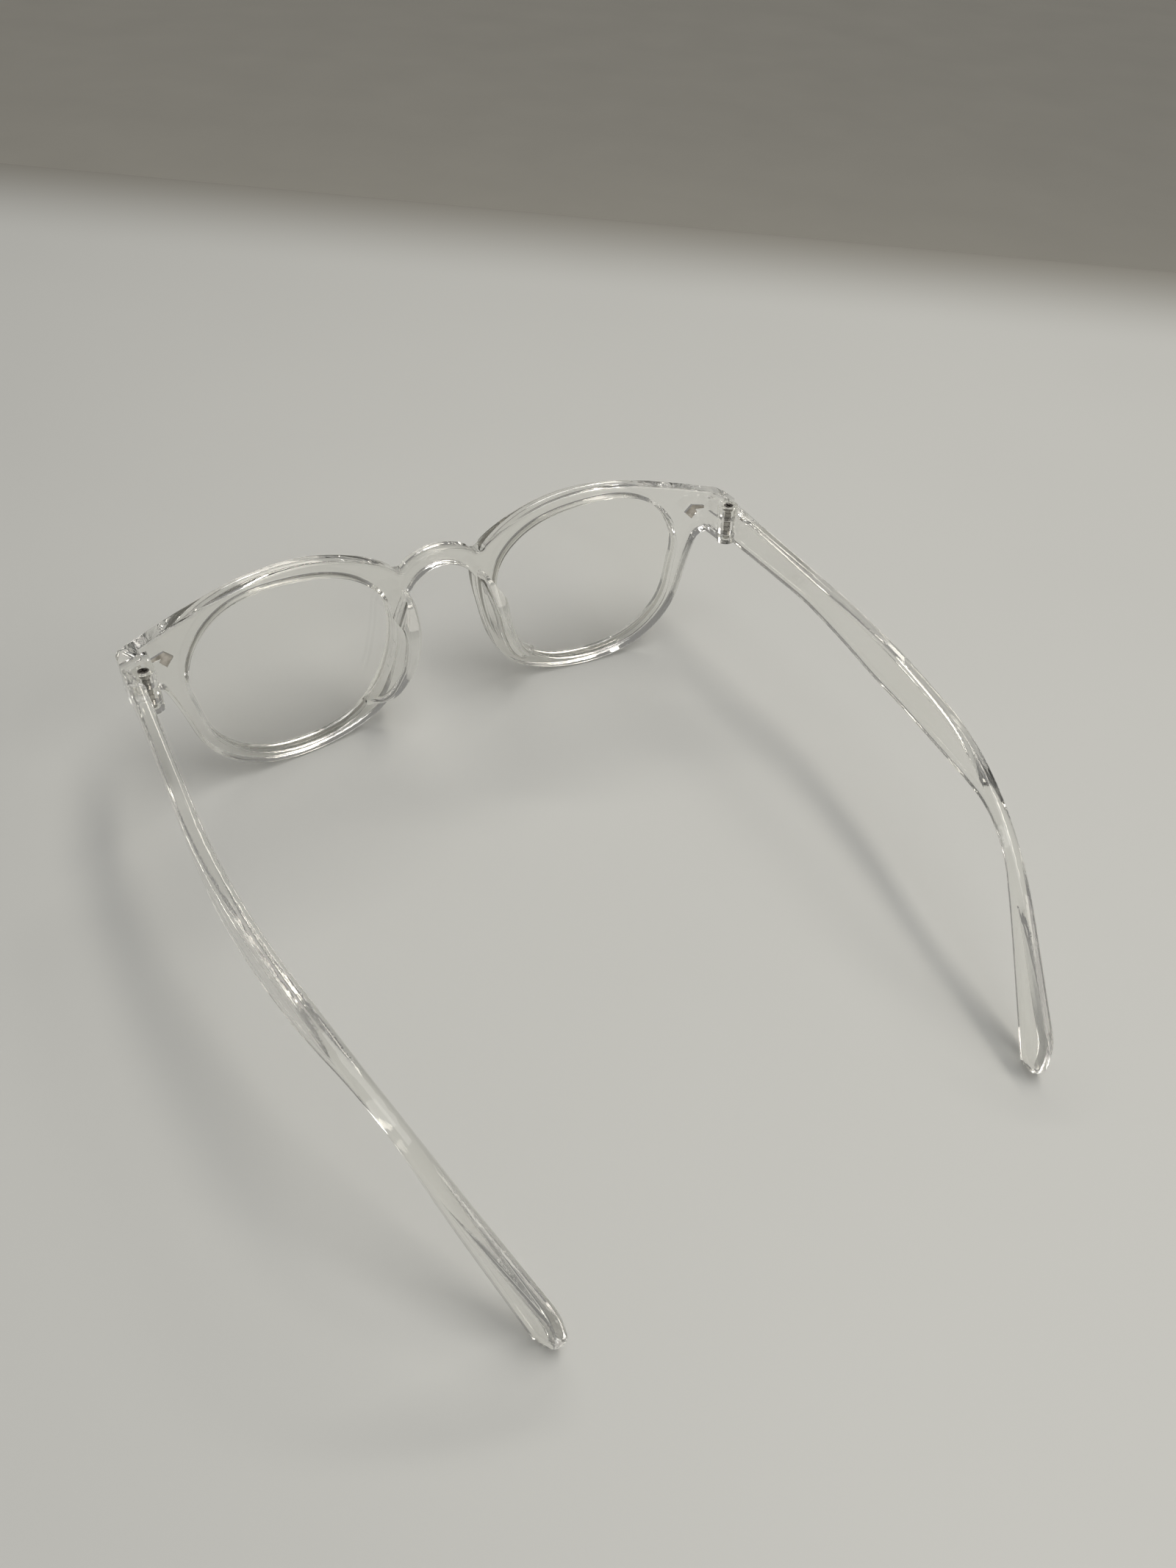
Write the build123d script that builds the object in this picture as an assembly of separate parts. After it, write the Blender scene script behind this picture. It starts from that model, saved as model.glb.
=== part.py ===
from build123d import *
import math
import os

# Clear plastic eyeglasses, standing on their rims and temple tips.
# X runs across the face (+X is the wearer's left), -Y is where the wearer looks, +Z is up.
# Everything is in millimetres. The front is drawn upright, with its screw axes along Z, and
# then leans forward as one. The temples are drawn in the standing frame. Every piece is made
# for the wearer's left side and mirrored for the right.

# ---- front ----
FRONT_DEPTH = 4.4             # thickness of the rims, front to back
FACE_RADIUS = 330.0           # radius of the back face in plan, hollow towards the wearer
FACE_LEAN = 4.7               # degrees that the top of the front leans forward
HALF_FRONT = 69.2             # outer side of an endpiece
BRIDGE_TOP = 39.6
BRIDGE_UNDERSIDE = 35.6
ENDPIECE_BOTTOM = 29.9
ENDPIECE_TOP = 38.7
FRONT_CORNER_ROUND = 2.0
FRONT_EDGE_ROUND = 0.9
BACK_EDGE_ROUND = 0.6
OPENING_EDGE_ROUND = 0.35
OPENING_STEPS = 36            # points on a curve drawn parallel to the lens opening

# ---- lenses ----
LENS_THICKNESS = 1.8
LENS_SETBACK = 1.3            # front face of the rim to the front of the lens
GROOVE_DEPTH = 0.8
LENS_BEVEL = 0.6
LENS_PLAY = 0.05

# ---- hinges ----
HINGE_X = 65.8                # screw axis, in the upright frame of the front
HINGE_Y = 12.5
HINGE_BOTTOM = 30.2
HINGE_TOP = 39.0
KNUCKLE_RADIUS = 2.1
KNUCKLE_CLEARANCE = 0.25
LOWER_SLOT = 32.4             # the temple's knuckle turns between these two heights
UPPER_SLOT = 36.0
KNUCKLE_PLAY = 0.1
JOINT_FACE = 10.0             # back face of the endpiece, where the temple butts
JOINT_GAP = 0.2
RETURN_START = 65.0           # inner side of the part of the endpiece that reaches the joint

# ---- hinge screws ----
HEAD_RADIUS = 1.05
HEAD_HEIGHT = 0.8
HEAD_SUNK = 0.1
CORE_RADIUS = 0.55
THREAD_RADIUS = 0.75
THREAD_PITCH = 1.1
THREAD_TURNS = 6
SCREW_PLAY = 0.05
CROSS_LENGTH = 1.5
CROSS_WIDTH = 0.36
CROSS_DEPTH = 0.45

# ---- arrow plates sunk into the back of the endpieces ----
PLATE_THICKNESS = 0.8
PLATE_SETBACK = 0.1
PLATE_PLAY = 0.03
DIAMOND_X = 60.5
DIAMOND_Z = 35.5
DIAMOND_HALF_WIDTH = 1.4
DIAMOND_HALF_HEIGHT = 1.7
BAR_WIDTH = 0.65
BAR_END = 63.6                # where the bar meets the hinge
RIVET_RADIUS = 0.45
RIVET_HEIGHT = 0.25

# ---- nose pads ----
PAD_REACH = 8.0               # how far a pad stands out behind the rim
PAD_SEAT_DEPTH = 0.6          # reaches in over the rounded edges of the rim
PAD_EDGE_ROUND = 1.0

# ---- temples ----
TEMPLE_THICKNESS = 3.0
TEMPLE_EDGE_ROUND = 1.1
TEMPLE_BEND_RADIUS = 200.0
TEMPLE_TOP = 60.0             # above and below this the plan shape is cut off

FAR = 400.0                   # beyond everything, for trimming solids
LEANED = Rot(X=FACE_LEAN)


# ---- helpers ----

def back_face_y(x):
    """Depth of the back face of the front at x, in the upright frame."""
    return x * x / (2 * FACE_RADIUS)


def curved_slab(front_depth, back_depth):
    """Everything between two depths ahead of the back face, following its curve."""
    outer = Cylinder(FACE_RADIUS + front_depth, FAR)
    inner = Cylinder(FACE_RADIUS + back_depth, 2 * FAR)
    return Pos(0, FACE_RADIUS, 0) * (outer - inner)


def prism_along_y(sketch, y_from, y_to):
    """A sketch of X and Z, pulled along Y."""
    return Pos(0, y_to, 0) * extrude(Plane.XZ * sketch, amount=y_to - y_from)


def block(x_from, x_to, y_from, y_to, z_from, z_to):
    """A box given by its two corners."""
    size = (x_to - x_from, y_to - y_from, z_to - z_from)
    centre = ((x_from + x_to) / 2, (y_from + y_to) / 2, (z_from + z_to) / 2)
    return Pos(*centre) * Box(*size)


def about_screw(radius, z_from, z_to):
    """A cylinder about the screw axis between two heights."""
    height = z_to - z_from
    return Pos(HINGE_X, HINGE_Y, z_from + height / 2) * Cylinder(radius, height)


def lies_at_depth(edge, depth):
    """True for an edge that runs along the curved face at this depth."""
    for along in (0.05, 0.5, 0.95):
        point = edge.position_at(along)
        radius = math.hypot(point.X, point.Y - FACE_RADIUS)
        if abs(radius - FACE_RADIUS - depth) > 0.02:
            return False
    return True


# ---- outlines, seen from behind in the upright frame ----

def opening_sketch(grow=0.0):
    """The rounded-square lens shape, grown outwards by the given distance."""
    with BuildLine() as outline:
        Spline((57.0, 24.0), (55.3, 34.3), (48.9, 40.3), (34.0, 42.1), (21.3, 39.0), (13.7, 31.4),
               (12.9, 23.0), (16.3, 12.8), (23.1, 5.3), (35.2, 2.5), (47.8, 6.0), (54.9, 14.3),
               periodic=True)
    curve = outline.line.edges()[0]
    points = []
    for step in range(OPENING_STEPS):
        here = curve.position_at(step / OPENING_STEPS)
        along = curve.tangent_at(step / OPENING_STEPS)
        points.append((here.X + grow * along.Y, here.Y - grow * along.X))
    with BuildSketch() as sketch:
        with BuildLine():
            Spline(*points, periodic=True)
        make_face()
    return sketch.sketch


def front_half_sketch():
    """Half of the front's outline, from the middle of the bridge to the endpiece."""
    bridge_side = (7.7, 31.0)
    endpiece_root = (65.8, ENDPIECE_BOTTOM)
    side_bottom = (HALF_FRONT, ENDPIECE_BOTTOM)
    side_top = (HALF_FRONT, ENDPIECE_TOP)
    notch_outer = (10.6, 37.6)
    notch_bottom = (8.9, 36.5)
    notch_inner = (7.3, 37.5)
    with BuildSketch() as sketch:
        with BuildLine():
            # underside of the bridge, then down beside the nose and round under the lens
            ThreePointArc((0, BRIDGE_UNDERSIDE), (4.3, 34.5), bridge_side)
            Spline(bridge_side, (8.7, 23.3), (11.1, 13.3), (15.6, 6.0), (23.0, 1.9), (35.2, 0.0),
                   (49.2, 3.6), (57.5, 12.8), (60.2, 22.0), (61.9, 27.4), endpiece_root,
                   tangents=[(0, -1), (1, 0)])
            Line(endpiece_root, side_bottom)
            Line(side_bottom, side_top)
            # along the top to the notch beside the bridge, and over the bridge
            Spline(side_top, (55.5, 42.3), (35.0, 45.4), (20.4, 42.8), notch_outer,
                   tangents=[(-4, 1), (-0.75, -0.66)])
            ThreePointArc(notch_outer, notch_bottom, notch_inner)
            ThreePointArc(notch_inner, (4.2, 38.95), (0, BRIDGE_TOP))
            Line((0, BRIDGE_TOP), (0, BRIDGE_UNDERSIDE))
        make_face()
    return sketch.sketch


def arrow_sketch(grow=0.0):
    """A diamond with a thin bar that runs from its top to the hinge."""
    peak = DIAMOND_X + 0.2
    bar_top = DIAMOND_Z + 1.1
    bar_bottom = bar_top - BAR_WIDTH
    points = [(DIAMOND_X - DIAMOND_HALF_WIDTH, DIAMOND_Z), (peak, DIAMOND_Z + DIAMOND_HALF_HEIGHT),
              (BAR_END, bar_top), (BAR_END, bar_bottom), (DIAMOND_X + 0.9, bar_bottom + 0.1),
              (DIAMOND_X + DIAMOND_HALF_WIDTH, DIAMOND_Z - 0.1), (peak, DIAMOND_Z - DIAMOND_HALF_HEIGHT)]
    with BuildSketch() as sketch:
        with BuildLine():
            Polyline(*points, close=True)
        make_face()
    return offset(sketch.sketch, amount=grow, kind=Kind.INTERSECTION) if grow else sketch.sketch


def pad_sketch():
    """The foot of a nose pad on the back of the rim, between the nose and the lens opening."""
    nose_top = (8.0, 35.0)
    lens_top = (12.4, 26.8)
    with BuildSketch() as sketch:
        with BuildLine():
            Spline(nose_top, (8.25, 28.0), (9.2, 22.0), (11.2, 15.5), (14.4, 10.6), (20.0, 6.0))
            Line((20.0, 6.0), (21.5, 8.0))
            Spline((21.5, 8.0), (16.8, 12.2), (14.0, 17.6), (12.5, 23.5), lens_top)
            Line(lens_top, nose_top)
        make_face()
    return sketch.sketch


def pad_side_sketch():
    """Side view of a nose pad, drawn as (distance behind the rim, height)."""
    top = (-3.0, 33.4)
    bottom = (-3.0, 4.4)
    corners = {(4.2, 31.3): 3, (PAD_REACH, 25.4): 6, (PAD_REACH - 0.1, 17.5): 10, (5.6, 9.5): 6}
    with BuildSketch() as sketch:
        with BuildLine():
            FilletPolyline(top, *corners, bottom, radius=corners.values())
            Line(bottom, top)
        make_face()
    return sketch.sketch


# ---- pieces of the leaning front ----

def hinge_mount():
    """The return behind the endpiece and the two outer knuckles, slotted for the temple's knuckle."""
    root = back_face_y(RETURN_START) - 1.0
    knuckle_side = HINGE_X - KNUCKLE_RADIUS
    return_zone = Pos(RETURN_START + FAR / 2, 0) * Rectangle(FAR, FAR)
    solid = prism_along_y(front_half_sketch() & return_zone, root, JOINT_FACE)
    solid += block(knuckle_side, HINGE_X, root, HINGE_Y, HINGE_BOTTOM + 0.5, HINGE_TOP)
    solid += about_screw(KNUCKLE_RADIUS, HINGE_BOTTOM, HINGE_TOP)
    swing = KNUCKLE_RADIUS + KNUCKLE_CLEARANCE
    slot_floor = back_face_y(HINGE_X) + 1.2
    solid -= about_screw(swing, LOWER_SLOT, UPPER_SLOT)
    solid -= block(knuckle_side - 1, HINGE_X - 0.8, slot_floor, HINGE_Y, LOWER_SLOT, UPPER_SLOT)
    return solid


def groove_solid(play):
    """The lens as it fills its groove, or the groove itself when it is given some play."""
    sketch = opening_sketch(GROOVE_DEPTH - LENS_PLAY + play)
    front = FRONT_DEPTH - LENS_SETBACK
    slab = curved_slab(front + play, front - LENS_THICKNESS - play)
    solid = prism_along_y(sketch, -40, 40) & slab
    rims = [edge for edge in solid.edges() if edge.is_closed]
    return solid.chamfer(LENS_BEVEL, None, rims)


def arrow_solid(play):
    """The arrow plate, or its pocket when it is given some play."""
    slab = curved_slab(PLATE_SETBACK + PLATE_THICKNESS + play, -1.0 if play else PLATE_SETBACK)
    return prism_along_y(arrow_sketch(play), -40, 40) & slab


def front_half():
    """One rim with half of the bridge, its endpiece and hinge mount, in the upright frame."""
    half = prism_along_y(front_half_sketch(), -40, 40) & curved_slab(FRONT_DEPTH, 0)
    half -= prism_along_y(opening_sketch(), -40, 60)
    corner = [edge for edge in half.edges().filter_by(Axis.Z)
              if edge.center().X > HALF_FRONT - 0.1 and edge.center().Y < back_face_y(HALF_FRONT) - 1]
    half = half.fillet(FRONT_CORNER_ROUND, corner)
    for depth, outline_round in ((FRONT_DEPTH, FRONT_EDGE_ROUND), (0, BACK_EDGE_ROUND)):
        along_face = [edge for edge in half.edges() if lies_at_depth(edge, depth)]
        outline = [edge for edge in along_face if not edge.is_closed and edge.center().X > 0.01]
        half = half.fillet(outline_round, outline)
        opening = [edge for edge in half.edges() if edge.is_closed and lies_at_depth(edge, depth)]
        half = half.fillet(OPENING_EDGE_ROUND, opening)
    half += hinge_mount()
    half -= groove_solid(LENS_PLAY)
    half -= arrow_solid(PLATE_PLAY)
    half -= about_screw(THREAD_RADIUS + SCREW_PLAY, HINGE_BOTTOM + 0.6, HINGE_TOP + 1)
    half -= about_screw(HEAD_RADIUS + SCREW_PLAY, HINGE_TOP - HEAD_HEIGHT - HEAD_SUNK, HINGE_TOP + 1)
    return half


def make_lens():
    return groove_solid(0.0)


def make_arrow_plate():
    """The plate with the small rivet head in the lower half of its diamond."""
    plate = arrow_solid(0.0)
    depth = back_face_y(DIAMOND_X) - PLATE_SETBACK
    rivet = Rot(X=90) * Cylinder(RIVET_RADIUS, RIVET_HEIGHT)
    return plate + Pos(DIAMOND_X + 0.6, depth, DIAMOND_Z - 0.6) * rivet


def make_nose_pad(rim):
    """A fin seated on the back of the rim, rounded where it meets the nose."""
    fin = prism_along_y(pad_sketch(), -PAD_SEAT_DEPTH, PAD_REACH + 1)
    pad = fin & extrude(Plane.YZ * pad_side_sketch(), amount=FAR)
    long_edges = [edge for edge in pad.edges().filter_by(GeomType.BSPLINE) if edge.center().Y > 0.3]
    return pad.fillet(PAD_EDGE_ROUND, long_edges) - rim


def make_screw():
    """A coarse-threaded screw with a cross-recessed head, dropped in from above."""
    head_top = HINGE_TOP - HEAD_SUNK
    tip = HINGE_BOTTOM + 0.8
    screw = about_screw(CORE_RADIUS, tip, head_top - 0.1)
    screw += about_screw(HEAD_RADIUS, head_top - HEAD_HEIGHT, head_top)
    for turn in range(THREAD_TURNS):
        ridge_bottom = tip + 0.3 + turn * THREAD_PITCH
        screw += about_screw(THREAD_RADIUS, ridge_bottom, ridge_bottom + THREAD_PITCH / 2)
    for angle in (0, 90):
        cut = Rot(Z=angle) * Box(CROSS_LENGTH, CROSS_WIDTH, 2 * CROSS_DEPTH)
        screw -= Pos(HINGE_X, HINGE_Y, head_top) * cut
    return screw


# ---- temples, in the standing frame ----

def temple_side_sketch():
    """Side view of a temple, drawn as (distance behind the front, height)."""
    front_top = (2.0, 39.5)
    front_bottom = (2.0, 30.9)
    top_bends = {(92.8, 36.0): 60, (112.3, 29.6): 72}
    tip_corners = {(139.5, 9.1): 6, (141.3, 2.4): 3, (136.6, -0.52): 1.7}
    bottom_bends = {(108.1, 30.0): 20, (84.0, 27.9): 150, (62.0, 27.9): 60, (38.0, 31.1): 60}
    corners = top_bends | tip_corners | bottom_bends
    with BuildSketch() as sketch:
        with BuildLine():
            FilletPolyline(front_top, *corners, front_bottom, radius=corners.values())
            Line(front_bottom, front_top)
        make_face()
    return sketch.sketch


def temple_plan_sketch():
    """Plan of a temple: nearly straight beside the head, then curving in behind the ear."""
    with BuildSketch() as sketch:
        with BuildLine() as centre_line:
            FilletPolyline((67.4, -3.0), (70.1, 86.0), (45.5, 147.5), radius=TEMPLE_BEND_RADIUS)
        trace(centre_line.line, TEMPLE_THICKNESS)
    return sketch.sketch


def make_temple(standing):
    """The side arm with its middle knuckle. standing places upright-frame solids on the table."""
    side = extrude(Plane.YZ * temple_side_sketch(), amount=FAR)
    band = extrude(temple_plan_sketch(), amount=TEMPLE_TOP, both=True)
    temple = side & band
    long_edges = [edge for edge in temple.edges() if edge.center().Y > 2.5]
    temple = temple.fillet(TEMPLE_EDGE_ROUND, long_edges)
    temple -= standing * block(0, FAR, -FAR, JOINT_FACE + JOINT_GAP, -FAR, FAR)
    knuckle_bottom = LOWER_SLOT + KNUCKLE_PLAY
    knuckle_top = UPPER_SLOT - KNUCKLE_PLAY
    swing = KNUCKLE_RADIUS + KNUCKLE_CLEARANCE
    temple -= standing * about_screw(swing, UPPER_SLOT - KNUCKLE_PLAY, HINGE_TOP + 5)
    temple -= standing * about_screw(swing, HINGE_BOTTOM - 5, LOWER_SLOT + KNUCKLE_PLAY)
    temple += standing * about_screw(KNUCKLE_RADIUS, knuckle_bottom, knuckle_top)
    temple -= standing * about_screw(THREAD_RADIUS + SCREW_PLAY, HINGE_BOTTOM, HINGE_TOP)
    return temple


# ---- assembly ----

def save(name, solid):
    export_step(solid, f"parts/{name}.step")
    box = solid.bounding_box()
    print(f"{name}: {solid.volume:.1f} mm3, x {box.min.X:.2f}..{box.max.X:.2f},"
          f" y {box.min.Y:.2f}..{box.max.Y:.2f}, z {box.min.Z:.2f}..{box.max.Z:.2f}")


def main():
    os.makedirs("parts", exist_ok=True)
    half = front_half()
    front = half + mirror(half, about=Plane.YZ)
    lift = -(LEANED * front).bounding_box().min.Z
    standing = Pos(0, 0, lift) * LEANED
    temple = make_temple(standing)
    front_y = (standing * front).bounding_box().min.Y
    centre = Pos(0, -(front_y + temple.bounding_box().max.Y) / 2, 0)

    save("front_frame", centre * standing * front)
    leaning = {"lens": make_lens(), "nose_pad": make_nose_pad(half), "arrow_plate": make_arrow_plate(),
               "hinge_screw": make_screw()}
    left_pieces = {name: centre * standing * solid for name, solid in leaning.items()}
    left_pieces["temple"] = centre * temple
    for name, solid in left_pieces.items():
        save(f"{name}_left", solid)
        save(f"{name}_right", mirror(solid, about=Plane.YZ))

    place = centre * standing
    for height in (HINGE_BOTTOM, HINGE_TOP):
        point = (place * Pos(HINGE_X, HINGE_Y, height)).position
        print(f"screw axis at height {height}: {point.X:.4f}, {point.Y:.4f}, {point.Z:.4f}")


main()
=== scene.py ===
import math

import bpy
from mathutils import Matrix, Vector
from mathutils.kdtree import KDTree


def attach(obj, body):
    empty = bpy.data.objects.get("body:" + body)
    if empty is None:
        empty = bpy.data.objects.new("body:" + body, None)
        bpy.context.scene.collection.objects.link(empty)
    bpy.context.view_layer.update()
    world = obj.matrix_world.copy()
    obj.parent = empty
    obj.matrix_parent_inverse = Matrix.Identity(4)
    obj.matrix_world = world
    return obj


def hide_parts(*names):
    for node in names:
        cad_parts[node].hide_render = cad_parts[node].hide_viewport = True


# Looks for the clear plastic eyeglasses: materials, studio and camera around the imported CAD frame.
# Everything is in metres, in the CAD frame: +X is the wearer's left, -Y is where the wearer looks.

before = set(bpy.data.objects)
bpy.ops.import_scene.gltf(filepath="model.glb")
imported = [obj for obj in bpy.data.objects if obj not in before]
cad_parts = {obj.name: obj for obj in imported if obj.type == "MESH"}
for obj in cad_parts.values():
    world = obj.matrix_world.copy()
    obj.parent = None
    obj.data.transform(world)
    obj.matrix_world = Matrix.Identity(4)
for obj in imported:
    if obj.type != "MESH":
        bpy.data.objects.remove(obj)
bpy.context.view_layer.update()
MM = 0.001

# ---- camera ----
CAMERA_PLACE = Vector((84.4, 129.5, 183.2)) * MM
CAMERA_YAW = -32.07           # degrees from -Y, turning towards -X
CAMERA_PITCH = 44.56          # degrees below the horizon
CAMERA_ROLL = 3.42
CAMERA_LENS = 36.44           # millimetres, on a sensor 36 mm wide
SENSOR_WIDTH = 36.0
NEAREST_SEEN = 10 * MM
CLEAR_BOUNCES = 24            # lets light out of the long clear rims and temples

# ---- clear plastic ----
CLEAR_INDEX = 1.49            # refraction of the front and the temples
LENS_INDEX = 1.5
CLEAR_TINT = (0.958, 0.955, 0.918)
PALEST_TINT = (0.983, 0.982, 0.965)
POLISHED = (0.0, 0.05)        # lowest and highest roughness
FRONT_WAVES = 0.008 * MM      # height of the waves that polishing leaves
TEMPLE_WAVES = 0.010 * MM
SCRATCH_DEPTH = 0.001 * MM
FLAT_LENS_FACE = 0.9          # the flat faces of a lens point at least this much along Y
SCREW_HEAD_SHADED = 0.5 * MM   # the top of a screw that is painted dark, as painted shade of its cross recess
SAME_CORNER = 0.001 * MM
PAD_SINK = Vector((0, -0.05, 0)) * MM

# ---- studio ----
TABLE_TONE = (0.578, 0.59, 0.585)
BACKDROP_TONE = (0.80, 0.77, 0.68)
SHADED_EDGE_TONE = (0.24, 0.23, 0.205)
TABLE_WIDTH = 2.4
TABLE_DEPTH = 1.6
TABLE_EDGE_POINT = Vector((-0.182, -0.322, 0.0))    # a point on the far edge of the table
TABLE_EDGE_TURN = -37.2       # degrees that the far edge is turned from the X axis
TABLE_EDGE_RADIUS = 0.02
TABLE_EDGE_STEPS = 12
EDGE_FADE = (-0.02, 0.075)    # the table's far edge falls into shade between these two depths
FLOOR_WIDTH = 14.0
FLOOR_DEPTH = 9.0
FLOOR_BELOW_TABLE = 0.5
FLOOR_BEYOND_TABLE = 8.0      # how far the floor reaches past the table's far edge
WORLD_TONE = (1.0, 0.985, 0.955)
WORLD_STRENGTH = 0.22

# Each light has a place, a point that it aims at, a width and height, a power in watts and a colour.
LIGHTS = {
    "ceiling_panel": ((-0.10, 0.20, 0.95), (0, 0.05, 0), (0.7, 0.6), 2.7, (1.0, 0.985, 0.96)),
    "window": ((-0.5, 0.75, 0.65), (0, 0.1, 0), (0.5, 0.4), 2.2, (1.0, 0.95, 0.87)),
    "far_strip": ((-0.45, -0.80, 0.85), (0, 0, 0), (0.9, 0.08), 2.1, (1.0, 0.95, 0.85)),
    "overhead_strip": ((-0.35, 0.10, 0.95), (0, 0, 0), (0.9, 0.12), 2.8, (1.0, 0.94, 0.83)),
}


# ---- node helpers ----

class Nodes:
    """A material's node tree with short calls for adding and linking nodes."""

    def __init__(self, name):
        self.material = bpy.data.materials.new(name)
        self.material.use_nodes = True
        self.tree = self.material.node_tree
        self.shader = self.tree.nodes["Principled BSDF"]

    def add(self, kind, **values):
        node = self.tree.nodes.new(kind)
        for key, value in values.items():
            setattr(node, key, value)
        return node

    def put(self, node, **sockets):
        for name, value in sockets.items():
            node.inputs[name.replace("_", " ")].default_value = value
        return node

    def link(self, source, target):
        self.tree.links.new(source, target)

    def coordinates(self, stretch=(1, 1, 1)):
        """Object coordinates, scaled along each axis."""
        place = self.add("ShaderNodeTexCoord")
        mapping = self.add("ShaderNodeMapping")
        mapping.inputs["Scale"].default_value = stretch
        self.link(place.outputs["Object"], mapping.inputs["Vector"])
        return mapping.outputs["Vector"]

    def noise(self, vector, scale, detail=2.0, roughness=0.5):
        node = self.add("ShaderNodeTexNoise")
        self.put(node, Scale=scale, Detail=detail, Roughness=roughness)
        self.link(vector, node.inputs["Vector"])
        return node.outputs["Fac"]

    def spread(self, value, low, high, from_low=0.0, from_high=1.0):
        """Maps a value onto a new range."""
        node = self.add("ShaderNodeMapRange")
        self.put(node, From_Min=from_low, From_Max=from_high, To_Min=low, To_Max=high)
        self.link(value, node.inputs["Value"])
        return node.outputs["Result"]

    def ramp(self, value, *stops):
        """Colour ramp from (position, colour) stops."""
        node = self.add("ShaderNodeValToRGB")
        while len(node.color_ramp.elements) < len(stops):
            node.color_ramp.elements.new(0.5)
        for element, (position, colour) in zip(node.color_ramp.elements, stops):
            element.position = position
            element.color = (*colour, 1)
        self.link(value, node.inputs["Fac"])
        return node.outputs["Color"]

    def bump(self, height, distance, strength=1.0, under=None):
        node = self.add("ShaderNodeBump")
        self.put(node, Strength=strength, Distance=distance)
        self.link(height, node.inputs["Height"])
        if under is not None:
            self.link(under, node.inputs["Normal"])
        return node.outputs["Normal"]


def clear_plastic(name, tint, index, roughness, waves):
    """Polished clear plastic: faint waves from polishing, hairline scratches and a few dull smears."""
    nodes = Nodes(name)
    nodes.put(nodes.shader, IOR=index)
    nodes.shader.inputs["Transmission Weight"].default_value = 1.0
    vector = nodes.coordinates()
    smears = nodes.noise(vector, scale=60.0, detail=4.0)
    nodes.link(nodes.spread(smears, *roughness, from_low=0.35, from_high=0.7),
               nodes.shader.inputs["Roughness"])
    patches = nodes.noise(vector, scale=25.0)
    nodes.link(nodes.ramp(patches, (0.3, tint), (0.7, PALEST_TINT)), nodes.shader.inputs["Base Color"])
    polishing = nodes.bump(nodes.noise(vector, scale=90.0, detail=1.0), distance=waves)
    scratches = nodes.noise(nodes.coordinates((900, 60, 900)), scale=1.0, detail=3.0, roughness=0.7)
    nodes.link(nodes.bump(scratches, distance=SCRATCH_DEPTH, strength=0.2, under=polishing),
               nodes.shader.inputs["Normal"])
    return nodes.material


def metal(name, dark, light, roughness):
    """Satin metal with fine brushing and darker spots where the finish has worn."""
    nodes = Nodes(name)
    nodes.put(nodes.shader, Metallic=1.0)
    brushing = nodes.noise(nodes.coordinates((400, 3000, 3000)), scale=1.0, detail=3.0, roughness=0.6)
    tarnish = nodes.noise(nodes.coordinates(), scale=700.0, detail=3.0)
    nodes.link(nodes.ramp(tarnish, (0.35, dark), (0.65, light)), nodes.shader.inputs["Base Color"])
    nodes.link(nodes.spread(brushing, roughness - 0.1, roughness + 0.15),
               nodes.shader.inputs["Roughness"])
    nodes.link(nodes.bump(brushing, distance=0.01 * MM, strength=0.5), nodes.shader.inputs["Normal"])
    return nodes.material


def matte(name, tone, variation, edge_tone=None):
    """A plain painted surface with very slight mottling, which can fade to painted shade at its far edge."""
    nodes = Nodes(name)
    mottling = nodes.noise(nodes.coordinates(), scale=6.0, detail=5.0)
    lighter = tuple(min(1.0, channel * (1 + variation)) for channel in tone)
    colour = nodes.ramp(mottling, (0.3, tone), (0.7, lighter))
    if edge_tone:
        # painted shade: the colour darkens towards the far edge along Y
        axes = nodes.add("ShaderNodeSeparateXYZ")
        nodes.link(nodes.coordinates(), axes.inputs["Vector"])
        fade = nodes.add("ShaderNodeMapRange", interpolation_type="SMOOTHSTEP")
        nodes.put(fade, From_Min=EDGE_FADE[0], From_Max=EDGE_FADE[1])
        nodes.link(axes.outputs["Y"], fade.inputs["Value"])
        blend = nodes.add("ShaderNodeMix", data_type="RGBA")
        blend.inputs["A"].default_value = (*edge_tone, 1)
        nodes.link(fade.outputs["Result"], blend.inputs["Factor"])
        nodes.link(colour, blend.inputs["B"])
        colour = blend.outputs["Result"]
    nodes.link(colour, nodes.shader.inputs["Base Color"])
    nodes.put(nodes.shader, Roughness=0.55)
    grain = nodes.noise(nodes.coordinates(), scale=900.0, detail=3.0)
    nodes.link(nodes.bump(grain, distance=0.02 * MM, strength=0.3), nodes.shader.inputs["Normal"])
    return nodes.material


# ---- finishes ----

front_plastic = clear_plastic("clear_front", CLEAR_TINT, CLEAR_INDEX, POLISHED, FRONT_WAVES)
temple_plastic = clear_plastic("clear_temple", CLEAR_TINT, CLEAR_INDEX, POLISHED, TEMPLE_WAVES)
pad_plastic = clear_plastic("clear_pad", CLEAR_TINT, CLEAR_INDEX, POLISHED, FRONT_WAVES)
lens_plastic = clear_plastic("lens", (0.985, 0.985, 0.985), LENS_INDEX, (0.0, 0.01), 0.001 * MM)
# the lens edge faces are rough like a ground edge, and their dark tint is painted shade that gives dark rings
# round the lens openings
ground_edge_painted_shade = clear_plastic("lens_edge_painted_shade", (0.25, 0.24, 0.21), LENS_INDEX, (0.20, 0.35), 0.01 * MM)
arrow_metal = metal("arrow_metal", (0.34, 0.31, 0.27), (0.66, 0.62, 0.57), 0.30)
screw_metal = metal("screw_steel", (0.30, 0.29, 0.27), (0.62, 0.60, 0.57), 0.32)
# the top of each screw head is painted nearly black: painted shade of its cross recess
screw_head_painted_shade = metal("screw_head_steel_painted_shade", (0.05, 0.045, 0.04), (0.22, 0.21, 0.20), 0.35)

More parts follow.
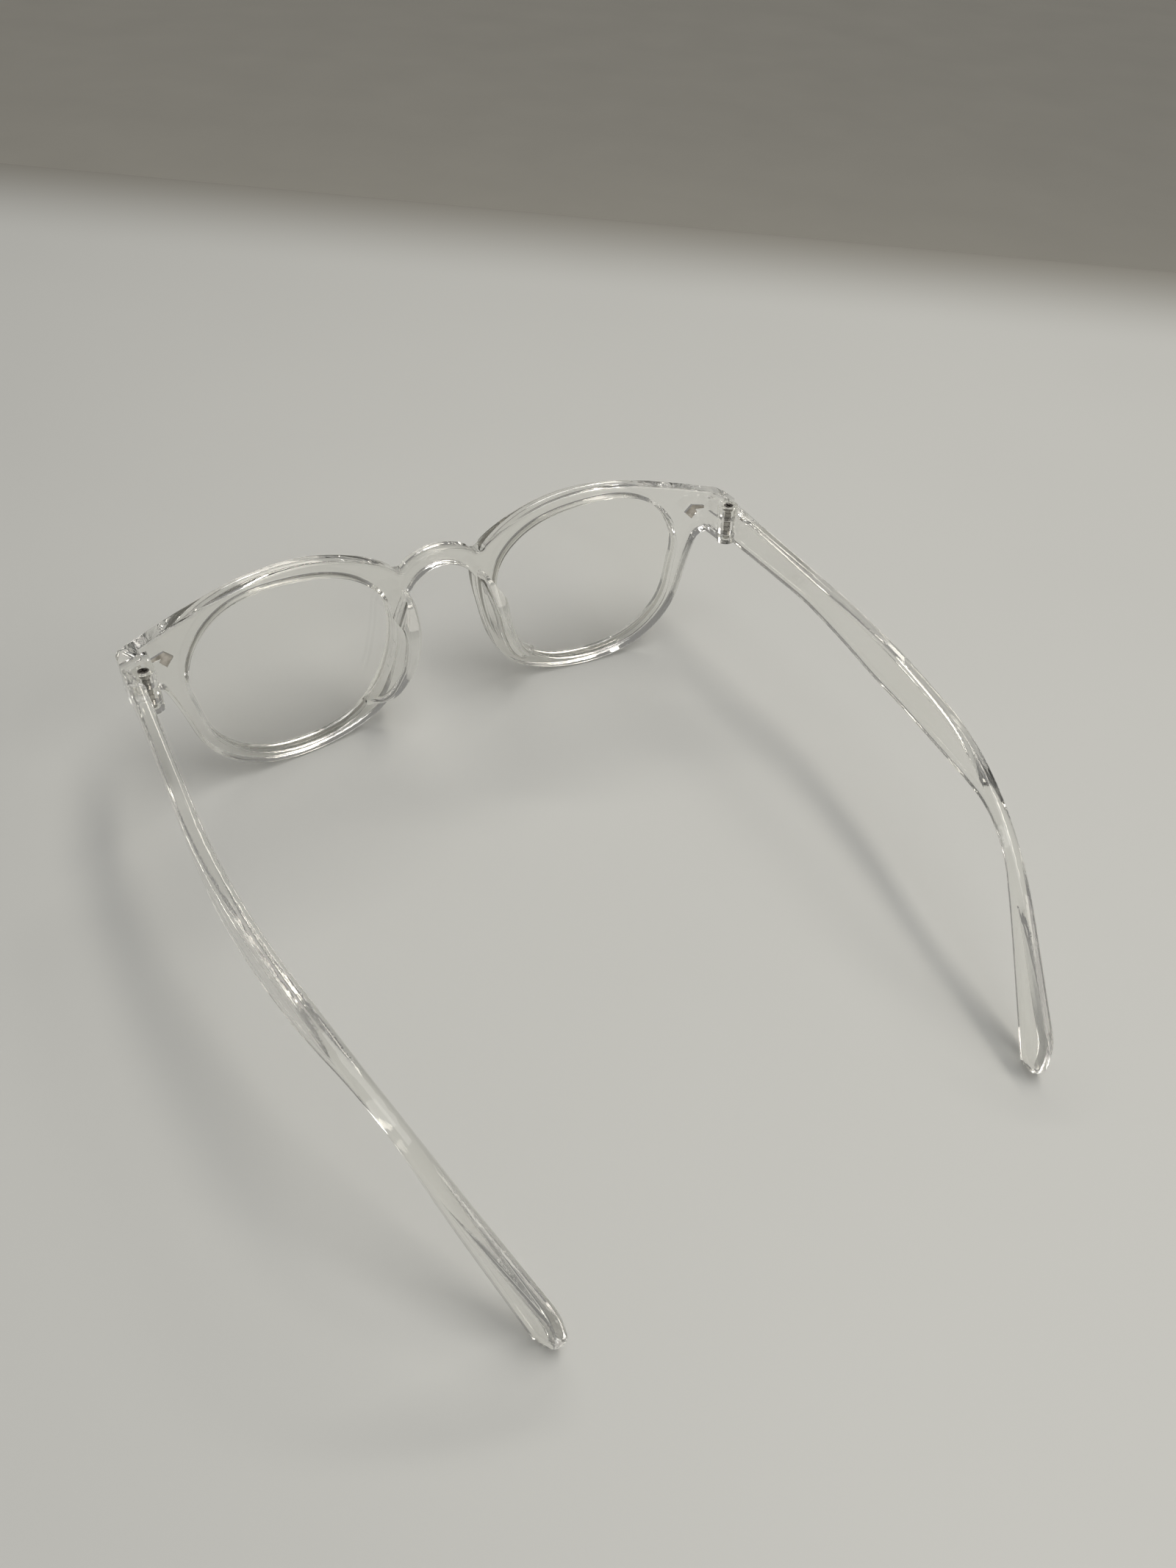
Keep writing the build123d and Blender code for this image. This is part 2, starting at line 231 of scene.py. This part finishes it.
NODE_FINISH = {
    "front_frame": front_plastic,
    "lens_left": lens_plastic,
    "lens_right": lens_plastic,
    "nose_pad_left": pad_plastic,
    "nose_pad_right": pad_plastic,
    "arrow_plate_left": arrow_metal,
    "arrow_plate_right": arrow_metal,
    "hinge_screw_left": screw_metal,
    "hinge_screw_right": screw_metal,
    "temple_left": temple_plastic,
    "temple_right": temple_plastic,
}
for name, finish in NODE_FINISH.items():
    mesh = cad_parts[name].data
    mesh.materials.clear()
    mesh.materials.append(finish)


def second_finish(name, finish, chosen):
    """Gives the faces of a node that chosen picks a finish of their own."""
    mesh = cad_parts[name].data
    mesh.materials.append(finish)
    for face in mesh.polygons:
        if chosen(face):
            face.material_index = 1


for side in ("left", "right"):
    # the edge faces of each lens get the dark tint of painted shade
    second_finish(f"lens_{side}", ground_edge_painted_shade, lambda face: abs(face.normal.y) < FLAT_LENS_FACE)
    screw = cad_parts[f"hinge_screw_{side}"].data
    # the top of the screw head gets the painted shade of its cross recess
    head_floor = max(vertex.co.z for vertex in screw.vertices) - SCREW_HEAD_SHADED
    second_finish(f"hinge_screw_{side}", screw_head_painted_shade, lambda face: face.center.z > head_floor)


# ---- the front and its nose pads, which are one piece of clear plastic to the eye ----

def copied(node, shift):
    """A free copy of a CAD node, moved by shift."""
    copy = bpy.data.objects.new(f"{node}_copy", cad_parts[node].data.copy())
    copy.matrix_world = Matrix.Translation(shift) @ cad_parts[node].matrix_world
    bpy.context.scene.collection.objects.link(copy)
    return copy


def keep_smooth_normals(mesh, sources):
    """Takes the smooth normals again from the meshes that a union was made of, where it has their corners."""
    corners = []
    for source, shift in sources:
        for face in source.polygons:
            for loop in face.loop_indices:
                place = source.vertices[source.loops[loop].vertex_index].co + shift
                corners.append((place, face.normal.copy(), source.corner_normals[loop].vector.copy()))
    tree = KDTree(len(corners))
    for index, (place, _, _) in enumerate(corners):
        tree.insert(place, index)
    tree.balance()
    normals = []
    for face in mesh.polygons:
        for loop in face.loop_indices:
            place = mesh.vertices[mesh.loops[loop].vertex_index].co
            found = [corners[index] for _, index, _ in tree.find_range(place, SAME_CORNER)]
            closest = max(found, key=lambda corner: corner[1].dot(face.normal), default=None)
            normals.append(closest[2] if closest else face.normal.copy())
    mesh.normals_split_custom_set(normals)


def joined(name, body, first, others, sink):
    """One mesh made of several CAD nodes. The others are sunk a little into the first, so no gap is left."""
    piece = copied(first, Vector())
    piece.name = name
    tools = [copied(other, sink) for other in others]
    for tool in tools:
        union = piece.modifiers.new(tool.name, "BOOLEAN")
        union.operation = "UNION"
        union.solver = "EXACT"
        union.object = tool
    graph = bpy.context.evaluated_depsgraph_get()
    graph.update()
    mesh = bpy.data.meshes.new_from_object(piece.evaluated_get(graph))
    piece.modifiers.clear()
    keep_smooth_normals(mesh, [(piece.data, Vector())] + [(tool.data, sink) for tool in tools])
    piece.data = mesh
    for tool in tools:
        bpy.data.objects.remove(tool)
    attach(piece, body)
    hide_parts(first, *others)
    return piece


pads = ("nose_pad_left", "nose_pad_right")
front_with_pads = joined("front_with_pads", "front", "front_frame", pads, PAD_SINK)
front_with_pads.data.materials.clear()
front_with_pads.data.materials.append(front_plastic)


# ---- studio ----

def stage_piece(name, corners, faces, matrix, material):
    """A piece of the studio, with its corners given from the origin of its matrix."""
    mesh = bpy.data.meshes.new(name)
    mesh.from_pydata(corners, [], faces)
    mesh.shade_smooth()
    mesh.materials.append(material)
    made = bpy.data.objects.new(name, mesh)
    made.matrix_world = matrix
    bpy.context.scene.collection.objects.link(made)


def table(name, matrix, material):
    """A table top that reaches along +Y from a rounded far edge at the origin of its matrix."""
    profile = [(TABLE_DEPTH, 0)]
    for step in range(TABLE_EDGE_STEPS + 1):
        angle = math.radians(90) * step / TABLE_EDGE_STEPS
        profile.append((-TABLE_EDGE_RADIUS * math.sin(angle), TABLE_EDGE_RADIUS * (math.cos(angle) - 1)))
    corners = [(x, y, z) for y, z in profile for x in (TABLE_WIDTH / 2, -TABLE_WIDTH / 2)]
    faces = [(row, row + 1, row + 3, row + 2) for row in range(0, len(corners) - 2, 2)]
    stage_piece(name, corners, faces, matrix, material)


def room_floor(name, matrix, material):
    """A flat floor that reaches along +Y from the origin of its matrix."""
    half = FLOOR_WIDTH / 2
    corners = [(-half, 0, 0), (half, 0, 0), (half, FLOOR_DEPTH, 0), (-half, FLOOR_DEPTH, 0)]
    stage_piece(name, corners, [(0, 1, 2, 3)], matrix, material)


def area_light(name, place, aim, size, power, colour):
    """A rectangular soft light that points at aim."""
    data = bpy.data.lights.new(name, "AREA")
    data.shape = "RECTANGLE"
    data.size, data.size_y = size
    data.energy = power
    data.color = colour
    light = bpy.data.objects.new(name, data)
    light.location = place
    light.rotation_euler = (Vector(aim) - Vector(place)).to_track_quat("-Z", "Y").to_euler()
    bpy.context.scene.collection.objects.link(light)


far_edge = Matrix.Translation(TABLE_EDGE_POINT) @ Matrix.Rotation(math.radians(TABLE_EDGE_TURN), 4, "Z")
table("table", far_edge, matte("table_paint", TABLE_TONE, 0.03, SHADED_EDGE_TONE))
floor_start = far_edge @ Matrix.Translation((0, -FLOOR_BEYOND_TABLE, -FLOOR_BELOW_TABLE))
room_floor("room_floor", floor_start, matte("room_floor_paint", BACKDROP_TONE, 0.05))
for name, settings in LIGHTS.items():
    area_light(name, *settings)

world = bpy.data.worlds.new("studio")
bpy.context.scene.world = world
world.use_nodes = True
background = world.node_tree.nodes["Background"]
background.inputs["Color"].default_value = (*WORLD_TONE, 1)
background.inputs["Strength"].default_value = WORLD_STRENGTH


# ---- camera ----

yaw, pitch, roll = (math.radians(angle) for angle in (CAMERA_YAW, CAMERA_PITCH, CAMERA_ROLL))
look = Vector((math.sin(yaw) * math.cos(pitch), -math.cos(yaw) * math.cos(pitch), -math.sin(pitch)))
level_right = look.cross(Vector((0, 0, 1))).normalized()
level_up = level_right.cross(look)
right = math.cos(roll) * level_right + math.sin(roll) * level_up
up = math.cos(roll) * level_up - math.sin(roll) * level_right
camera_data = bpy.data.cameras.new("camera")
camera_data.sensor_fit = "HORIZONTAL"
camera_data.sensor_width = SENSOR_WIDTH
camera_data.lens = CAMERA_LENS
camera_data.clip_start = NEAREST_SEEN
camera = bpy.data.objects.new("camera", camera_data)
camera.matrix_world = Matrix.Translation(CAMERA_PLACE) @ Matrix((right, up, -look)).transposed().to_4x4()
bpy.context.scene.collection.objects.link(camera)
bpy.context.scene.camera = camera

bpy.context.scene.view_settings.view_transform = "Standard"
bpy.context.scene.cycles.max_bounces = CLEAR_BOUNCES
bpy.context.scene.cycles.transmission_bounces = CLEAR_BOUNCES
bpy.context.scene.cycles.glossy_bounces = CLEAR_BOUNCES
